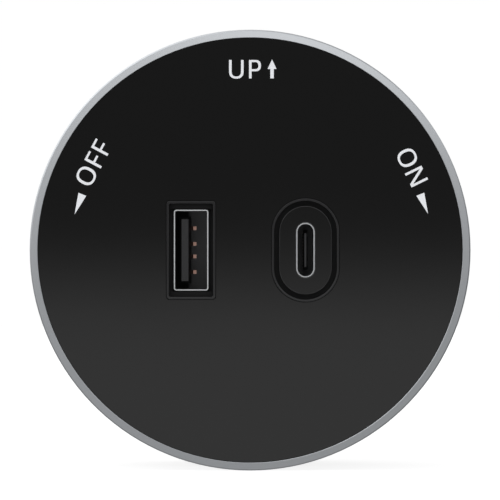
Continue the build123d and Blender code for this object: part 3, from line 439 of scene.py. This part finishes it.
# Polyester tape, wound in layers: glossy yellow with an edge every turn
def windingTape():
    finish, tree, shader = newFinish("windingTape", "#d9a520", 0.28, {"IOR": 1.57})
    coords = addNode(tree, "ShaderNodeTexCoord", {}, {})
    turns = addNode(tree, "ShaderNodeTexWave",
                    {"bands_direction": "Y", "wave_profile": "SAW", "Scale": waveScale(2.6)},
                    {"Vector": coords.outputs["Object"]})
    tint = addNode(tree, "ShaderNodeMix",
                   {"data_type": "RGBA", toneA: linear("#c99413"), toneB: linear("#e3b433")},
                   {"Factor": turns.outputs["Fac"]})
    skin = addNode(tree, "ShaderNodeBump", {"Strength": 0.3, "Distance": 0.00005},
                   {"Height": turns.outputs["Fac"]})
    connect(tree, shader, {"Base Color": tint.outputs[mixed], "Normal": skin.outputs["Normal"]})
    return finish


# PVC sleeve, shrunk over a can: glossy ink blue, slightly wavy
def shrunkSleeve():
    finish, tree, shader = newFinish("shrunkSleeve", "#23283d", 0.25, {"IOR": 1.54})
    coords = addNode(tree, "ShaderNodeTexCoord", {}, {})
    waves = addNode(tree, "ShaderNodeTexNoise", {"Scale": perMm(2.5), "Detail": 2.0},
                    {"Vector": coords.outputs["Object"]})
    tint = addNode(tree, "ShaderNodeMix",
                   {"data_type": "RGBA", toneA: linear("#1f2438"), toneB: linear("#2a3048")},
                   {"Factor": waves.outputs["Fac"]})
    skin = addNode(tree, "ShaderNodeBump", {"Strength": 0.25, "Distance": 0.0001},
                   {"Height": waves.outputs["Fac"]})
    connect(tree, shader, {"Base Color": tint.outputs[mixed], "Normal": skin.outputs["Normal"]})
    return finish


# Polypropylene box, moulded: mustard with a satin skin
def mouldedBox():
    finish, tree, shader = newFinish("mouldedBox", "#c9a227", 0.42, {"IOR": 1.49})
    coords = addNode(tree, "ShaderNodeTexCoord", {}, {})
    flow = addNode(tree, "ShaderNodeTexNoise", {"Scale": perMm(2), "Detail": 3.0},
                   {"Vector": coords.outputs["Object"]})
    tint = addNode(tree, "ShaderNodeMix",
                   {"data_type": "RGBA", toneA: linear("#bf981f"), toneB: linear("#d1ac35")},
                   {"Factor": flow.outputs["Fac"]})
    connect(tree, shader, {"Base Color": tint.outputs[mixed]})
    return finish


# Epoxy, transfer moulded: black with a fine sandy skin
def mouldedEpoxy():
    finish, tree, shader = newFinish("mouldedEpoxy", "#222223", 0.6, {"IOR": 1.55})
    coords = addNode(tree, "ShaderNodeTexCoord", {}, {})
    sand = addNode(tree, "ShaderNodeTexNoise", {"Scale": perMm(0.15), "Detail": 2.0},
                   {"Vector": coords.outputs["Object"]})
    tint = addNode(tree, "ShaderNodeMix",
                   {"data_type": "RGBA", toneA: linear("#1e1e1f"), toneB: linear("#29292a")},
                   {"Factor": sand.outputs["Fac"]})
    skin = addNode(tree, "ShaderNodeBump", {"Strength": 0.25, "Distance": 0.00002},
                   {"Height": sand.outputs["Fac"]})
    connect(tree, shader, {"Base Color": tint.outputs[mixed], "Normal": skin.outputs["Normal"]})
    return finish


# Borosilicate tube of the fuse: clear and slightly greenish, with metal caps at both ends
fuseCaps = {"glassEnds": 0.0028, "begin": 0.003, "clearness": 0.85}  # metres from the middle


def fuseGlass():
    finish, tree, shader = newFinish("fuseGlass", "#dfe8e2", 0.05, {"IOR": 1.47})
    coords = addNode(tree, "ShaderNodeTexCoord", {}, {})
    place = addNode(tree, "ShaderNodeSeparateXYZ", {}, {"Vector": coords.outputs["Object"]})
    away = addNode(tree, "ShaderNodeMath", {"operation": "ABSOLUTE"},
                   {"Value": place.outputs["Z"]})
    edge = {"From Min": fuseCaps["glassEnds"], "From Max": fuseCaps["begin"]}
    cap = addNode(tree, "ShaderNodeMapRange", edge, {"Value": away.outputs["Value"]})
    glass = addNode(tree, "ShaderNodeMapRange",
                    {**edge, "To Min": fuseCaps["clearness"], "To Max": 0.0},
                    {"Value": away.outputs["Value"]})
    connect(tree, shader, {"Metallic": cap.outputs["Result"],
                           "Transmission Weight": glass.outputs["Result"]})
    return finish


# PVC wire insulation, extruded: glossy, with a second colour in bands where it has one
def wireVinyl(name, colour, band):
    finish, tree, shader = newFinish(name, colour, 0.3, {"IOR": 1.54})
    coords = addNode(tree, "ShaderNodeTexCoord", {}, {})
    bands = addNode(tree, "ShaderNodeTexWave",
                    {"bands_direction": "DIAGONAL", "Scale": waveScale(1.6), "Distortion": 0.5},
                    {"Vector": coords.outputs["Object"]})
    tint = addNode(tree, "ShaderNodeMix",
                   {"data_type": "RGBA", toneA: linear(colour), toneB: linear(band)},
                   {"Factor": bands.outputs["Fac"]})
    connect(tree, shader, {"Base Color": tint.outputs[mixed]})
    return finish


# Pad-printed ink: opaque cool white, slightly uneven in its coverage
def paddedInk():
    finish, tree, shader = newFinish("paddedInk", "#eff1f5", 0.5, {"IOR": 1.5})
    coords = addNode(tree, "ShaderNodeTexCoord", {}, {})
    cover = addNode(tree, "ShaderNodeTexNoise", {"Scale": perMm(0.5), "Detail": 3.0},
                    {"Vector": coords.outputs["Object"]})
    tint = addNode(tree, "ShaderNodeMix",
                   {"data_type": "RGBA", toneA: linear("#eef0f4"), toneB: linear("#f1f3f7")},
                   {"Factor": cover.outputs["Fac"]})
    connect(tree, shader, {"Base Color": tint.outputs[mixed]})
    return finish


finishes = {
    "face_gloss": polishedAcrylic(),
    "bezel_gloss": absWithPaintedHighlights(),
    "ring_metal": turnedAluminium(),
    "body_plastic": grainedPolycarbonate(),
    "shoe_plastic": filledNylon(),
    "washer_plastic": naturalAcetal(),
    "port_steel": nickelledSteel(),
    "tongue_plastic": crystalPolymer(),
    "contact_alloy": flashedBronze(),
    "blade_copper": rolledCopper(),
    "screw_steel": zincPlate(),
    "spring_steel": hardenedSteel(),
    "board_laminate": boardLaminate(),
    "ferrite": sinteredFerrite(),
    "winding_tape": windingTape(),
    "capacitor_sleeve": shrunkSleeve(),
    "box_capacitor_case": mouldedBox(),
    "chip_case": mouldedEpoxy(),
    "fuse_sleeve": fuseGlass(),
    "wire_brown": wireVinyl("brownVinyl", "#5f3a22", "#67412a"),
    "wire_blue": wireVinyl("blueVinyl", "#2358a8", "#2a60b0"),
    "wire_green": wireVinyl("greenYellowVinyl", "#3f8f3a", "#d8c92e"),
}

for row in frame["record"]["subparts"]:
    for slot in frame["nodes"][row["node"]].material_slots:
        slot.material = finishes[row["material_slot"]]
print("finishes:", len(finishes))

# Marks printed on the face. Outlines are in millimetres, with x along the line of text and y up
# from it
ink = {
    "thick": 0.02,
    "capHeight": 2.93,
    "stem": 0.41,
    "bar": 0.34,
    "arcStep": 10,  # degrees between the points of a round stretch
    "fullness": 0.84,  # 1 makes an ellipse, less fills out its corners
}


def arc(centre, radii, start, end):
    steps = round(abs(end - start) / ink["arcStep"])
    angles = [radians(start + (end - start) * step / steps) for step in range(steps + 1)]
    return [tuple(middle + radius * copysign(abs(turn) ** ink["fullness"], turn)
                  for middle, radius, turn in zip(centre, radii, (cos(angle), sin(angle))))
            for angle in angles]


def letterU(x):
    wide, overshoot = 2.31, 0.04
    radius = wide / 2
    middle = (x + radius, radius - overshoot)
    inside = (radius - ink["stem"], radius - ink["bar"])
    return [
        [(x, ink["capHeight"])]
        + arc(middle, (radius, radius), 180, 360)
        + [(x + wide, ink["capHeight"]), (x + wide - ink["stem"], ink["capHeight"])]
        + arc(middle, inside, 360, 180)
        + [(x + ink["stem"], ink["capHeight"])]
    ]


def letterP(x):
    wide, bowl, top = 1.9, 1.8, ink["capHeight"]
    middle = (x + wide - bowl / 2, top - bowl / 2)
    inside = (bowl / 2 - ink["stem"], bowl / 2 - ink["bar"])
    return [
        [(x, 0), (x, top)]
        + arc(middle, (bowl / 2, bowl / 2), 90, -90)
        + [(x + ink["stem"], top - bowl), (x + ink["stem"], 0)],
        [(x + ink["stem"], top - ink["bar"])]
        + arc(middle, inside, 90, -90)
        + [(x + ink["stem"], top - bowl + ink["bar"])],
    ]


def letterO(x):  # x is its middle
    radii, extraStem = (1.375, 1.515), 0.03
    middle, lastAngle = (x, ink["capHeight"] / 2), 360 - ink["arcStep"]
    inside = (radii[0] - ink["stem"] - extraStem, radii[1] - ink["bar"])
    return [arc(middle, outline, 0, lastAngle) for outline in (radii, inside)]


def letterF(x):
    wide, middle, top, barTop = 1.63, 1.55, ink["capHeight"], 1.57
    return [[
        (x, 0), (x, top), (x + wide, top), (x + wide, top - ink["bar"]),
        (x + ink["stem"], top - ink["bar"]), (x + ink["stem"], barTop),
        (x + middle, barTop), (x + middle, barTop - ink["bar"]),
        (x + ink["stem"], barTop - ink["bar"]), (x + ink["stem"], 0),
    ]]


def letterN(x):
    wide, top, slimmer = 2.44, ink["capHeight"], 0.035  # its stems are slimmer than the others'
    slant, slope = 0.56, 0.61  # the diagonal's width and its run per height, both along the line
    low, high = ink["stem"] - slimmer, wide - ink["stem"] + slimmer
    return [[
        (x, 0), (x, top), (x + slant, top),
        (x + high, top - (high - slant) / slope), (x + high, top), (x + wide, top),
        (x + wide, 0), (x + wide - slant, 0),
        (x + low, (wide - slant - low) / slope), (x + low, 0),
    ]]


def upArrow(x):  # x is its middle
    tip, head, base, shaft = 3.01, 1.5, 1.41, 0.55
    return [[
        (x - shaft / 2, 0), (x - shaft / 2, head), (x - base / 2, head), (x, tip),
        (x + base / 2, head), (x + shaft / 2, head), (x + shaft / 2, 0),
    ]]


marks = {  # each letter is given its place along the line, and a turn arrow its corners on the face
    "printUp": {
        "outlines": letterU(0) + letterP(3.17) + upArrow(6.83),
        "place": (-3.345, 27.27), "turn": 0,
    },
    "printOff": {
        "outlines": letterO(0) + letterF(2.1) + letterF(4.35),
        "place": (-24.73, 11.105), "turn": 61.9,
    },
    "printOn": {
        "outlines": letterO(0) + letterN(2.09),
        "place": (23.64, 14.01), "turn": -63.7,
    },
    "printOffArrow": {
        "outlines": [[(-27.258, 9.115), (-26.023, 8.621), (-27.88, 5.66)]],
        "place": (0, 0), "turn": 0,
    },
    "printOnArrow": {
        "outlines": [[(26.402, 8.628), (27.654, 9.13), (28.261, 5.761)]],
        "place": (0, 0), "turn": 0,
    },
}
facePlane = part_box("face_panel")[0].y
inkFinish = paddedInk()


def printMark(name, outlines, place, turn):
    halfThick = ink["thick"] / mmPerMetre / 2
    flat = bpy.data.curves.new(name, "CURVE")
    flat.dimensions = "2D"
    flat.fill_mode = "BOTH"
    flat.extrude = halfThick
    for outline in outlines:
        spline = flat.splines.new("POLY")
        spline.points.add(len(outline) - 1)
        spline.use_cyclic_u = True
        for point, (x, y) in zip(spline.points, outline):
            point.co = (x / mmPerMetre, y / mmPerMetre, 0, 1)
    mark = bpy.data.objects.new(name, flat)
    bpy.context.collection.objects.link(mark)
    bpy.ops.object.select_all(action="DESELECT")
    mark.select_set(True)
    bpy.context.view_layer.objects.active = mark
    bpy.ops.object.convert(target="MESH")
    mark = bpy.context.object
    mark.rotation_euler = (pi / 2, -radians(turn), 0)
    mark.location = (place[0] / mmPerMetre, facePlane - halfThick, place[1] / mmPerMetre)
    bpy.ops.object.transform_apply(location=True, rotation=True, scale=True)
    mark.data.materials.append(inkFinish)
    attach(mark, "module")


for name, mark in marks.items():
    printMark(name, **mark)
print("marks printed:", len(marks))

# Pale floor that nothing mirrors, lifted by its own glow to a near white
floorSet = {"radius": 1.1, "corners": 96, "colour": "#909090", "roughness": 0.9, "glow": 0.86}

bpy.ops.object.select_all(action="DESELECT")
bpy.ops.mesh.primitive_circle_add(vertices=floorSet["corners"], radius=floorSet["radius"],
                                  fill_type="NGON", location=(0, 0, cadBox[0].z))
floor = bpy.context.object
floor.name = "floor"
floor.visible_glossy = False
floorPaint, tree, shader = newFinish(
    "whiteFloor", floorSet["colour"], floorSet["roughness"],
    {"Emission Color": linear("#ffffff"), "Emission Strength": floorSet["glow"]})
floor.data.materials.append(floorPaint)

# White all round, for the camera only
roomSet = {"radius": 3.0, "segments": 48, "rings": 24, "glow": 1.0}

bpy.ops.mesh.primitive_uv_sphere_add(segments=roomSet["segments"], ring_count=roomSet["rings"],
                                     radius=roomSet["radius"])
room = bpy.context.object
room.name = "room"
for kind in ("diffuse", "glossy", "transmission", "shadow", "volume_scatter"):
    setattr(room, "visible_" + kind, False)
roomPaint, tree, shader = newFinish(
    "whiteRoom", "#000000", 1.0,
    {"Emission Color": linear("#ffffff"), "Emission Strength": roomSet["glow"]})
room.data.materials.append(roomPaint)

# Card in front of the face, graded from its lower part up, which the gloss mirrors
cardSet = {
    "distance": 2.5,
    "middle": -0.05,
    "size": (0.5, 0.5),
    "brightBelow": -0.073,
    "dimAbove": 0.023,
    "bright": 1.11,
    "dim": 0.295,
}

bpy.ops.mesh.primitive_plane_add(size=1, location=(0, -cardSet["distance"], cardSet["middle"]),
                                 rotation=(pi / 2, 0, 0))
card = bpy.context.object
card.name = "card"
card.scale = (*cardSet["size"], 1)
bpy.ops.object.transform_apply(location=True, rotation=True, scale=True)
card.visible_camera = False
card.visible_diffuse = False
cardPaint, tree, shader = newFinish(
    "gradedCard", "#000000", 1.0,
    {"Specular IOR Level": 0, "Emission Color": linear("#ffffff")})
coords = addNode(tree, "ShaderNodeTexCoord", {}, {})
height = addNode(tree, "ShaderNodeSeparateXYZ", {}, {"Vector": coords.outputs["Object"]})
grade = addNode(tree, "ShaderNodeMapRange",
                {"interpolation_type": "SMOOTHSTEP",
                 "From Min": cardSet["brightBelow"], "From Max": cardSet["dimAbove"],
                 "To Min": cardSet["bright"], "To Max": cardSet["dim"]},
                {"Value": height.outputs["Z"]})
connect(tree, shader, {"Emission Strength": grade.outputs["Result"]})
card.data.materials.append(cardPaint)

# Dome of soft light: brighter overhead, weaker to the right, and strongest high on the left
domeSet = {
    "horizon": 0.34,
    "overhead": 0.68,
    "overheadFrom": 0.4,  # height, as a share of the dome
    "middle": 0.98,  # share of the light that is left in the middle and at the far right
    "farRight": 0.68,
    "leanFrom": 0.2,  # how far to the right the light starts to weaken
    "cornerWay": (-0.7, 0.1, 0.7),
    "cornerFrom": 0.6,
    "corner": 1.0,
}

dome = bpy.data.worlds.new("dome")
dome.use_nodes = True
tree = dome.node_tree
coords = addNode(tree, "ShaderNodeTexCoord", {}, {})
heading = addNode(tree, "ShaderNodeSeparateXYZ", {}, {"Vector": coords.outputs["Generated"]})
rise = addNode(tree, "ShaderNodeMapRange",
               {"From Max": domeSet["overheadFrom"],
                "To Min": domeSet["horizon"], "To Max": domeSet["overhead"]},
               {"Value": heading.outputs["Z"]})
lean = addNode(tree, "ShaderNodeMapRange",
               {"From Min": domeSet["leanFrom"],
                "To Min": domeSet["middle"], "To Max": domeSet["farRight"]},
               {"Value": heading.outputs["X"]})
leaning = addNode(tree, "ShaderNodeMath", {"operation": "MULTIPLY"},
                  {0: rise.outputs["Result"], 1: lean.outputs["Result"]})
toCorner = addNode(tree, "ShaderNodeVectorMath",
                   {"operation": "DOT_PRODUCT", 1: domeSet["cornerWay"]},
                   {"Vector": coords.outputs["Generated"]})
corner = addNode(tree, "ShaderNodeMapRange",
                 {"From Min": domeSet["cornerFrom"], "To Max": domeSet["corner"]},
                 {"Value": toCorner.outputs["Value"]})
glow = addNode(tree, "ShaderNodeMath", {"operation": "ADD"},
               {0: leaning.outputs["Value"], 1: corner.outputs["Result"]})
connect(tree, tree.nodes["Background"], {"Strength": glow.outputs["Value"]})
tree.nodes["Background"].inputs["Color"].default_value = linear("#ffffff")
bpy.context.scene.world = dome

# Wide soft box above on the right, which lights the rim's upper half
overheadBox = {"place": (0.62, -0.58, 0.69), "size": (2.1, 0.5), "watts": 1.27}

bpy.ops.object.light_add(type="AREA", location=overheadBox["place"])
light = bpy.context.object
light.name = "overheadBox"
light.data.shape = "RECTANGLE"
light.data.size, light.data.size_y = overheadBox["size"]
light.data.energy = overheadBox["watts"]
light.visible_camera = False
light.rotation_euler = (-Vector(overheadBox["place"])).to_track_quat("-Z", "Y").to_euler()
print("stage set")

# Camera: straight at the face
view = {
    "distance": 0.6,
    "frameWide": 0.0794,
    "aim": (-0.000018, 0.000021),
    "sensorWide": 36,
    "clipStart": 0.05,
    "clipEnd": 10,
}

bpy.ops.object.camera_add(location=(view["aim"][0], facePlane - view["distance"], view["aim"][1]),
                          rotation=(pi / 2, 0, 0))
camera = bpy.context.object
camera.data.sensor_width = view["sensorWide"]
camera.data.lens = view["sensorWide"] * view["distance"] / view["frameWide"]
camera.data.clip_start = view["clipStart"]
camera.data.clip_end = view["clipEnd"]
bpy.context.scene.camera = camera
print("camera set")
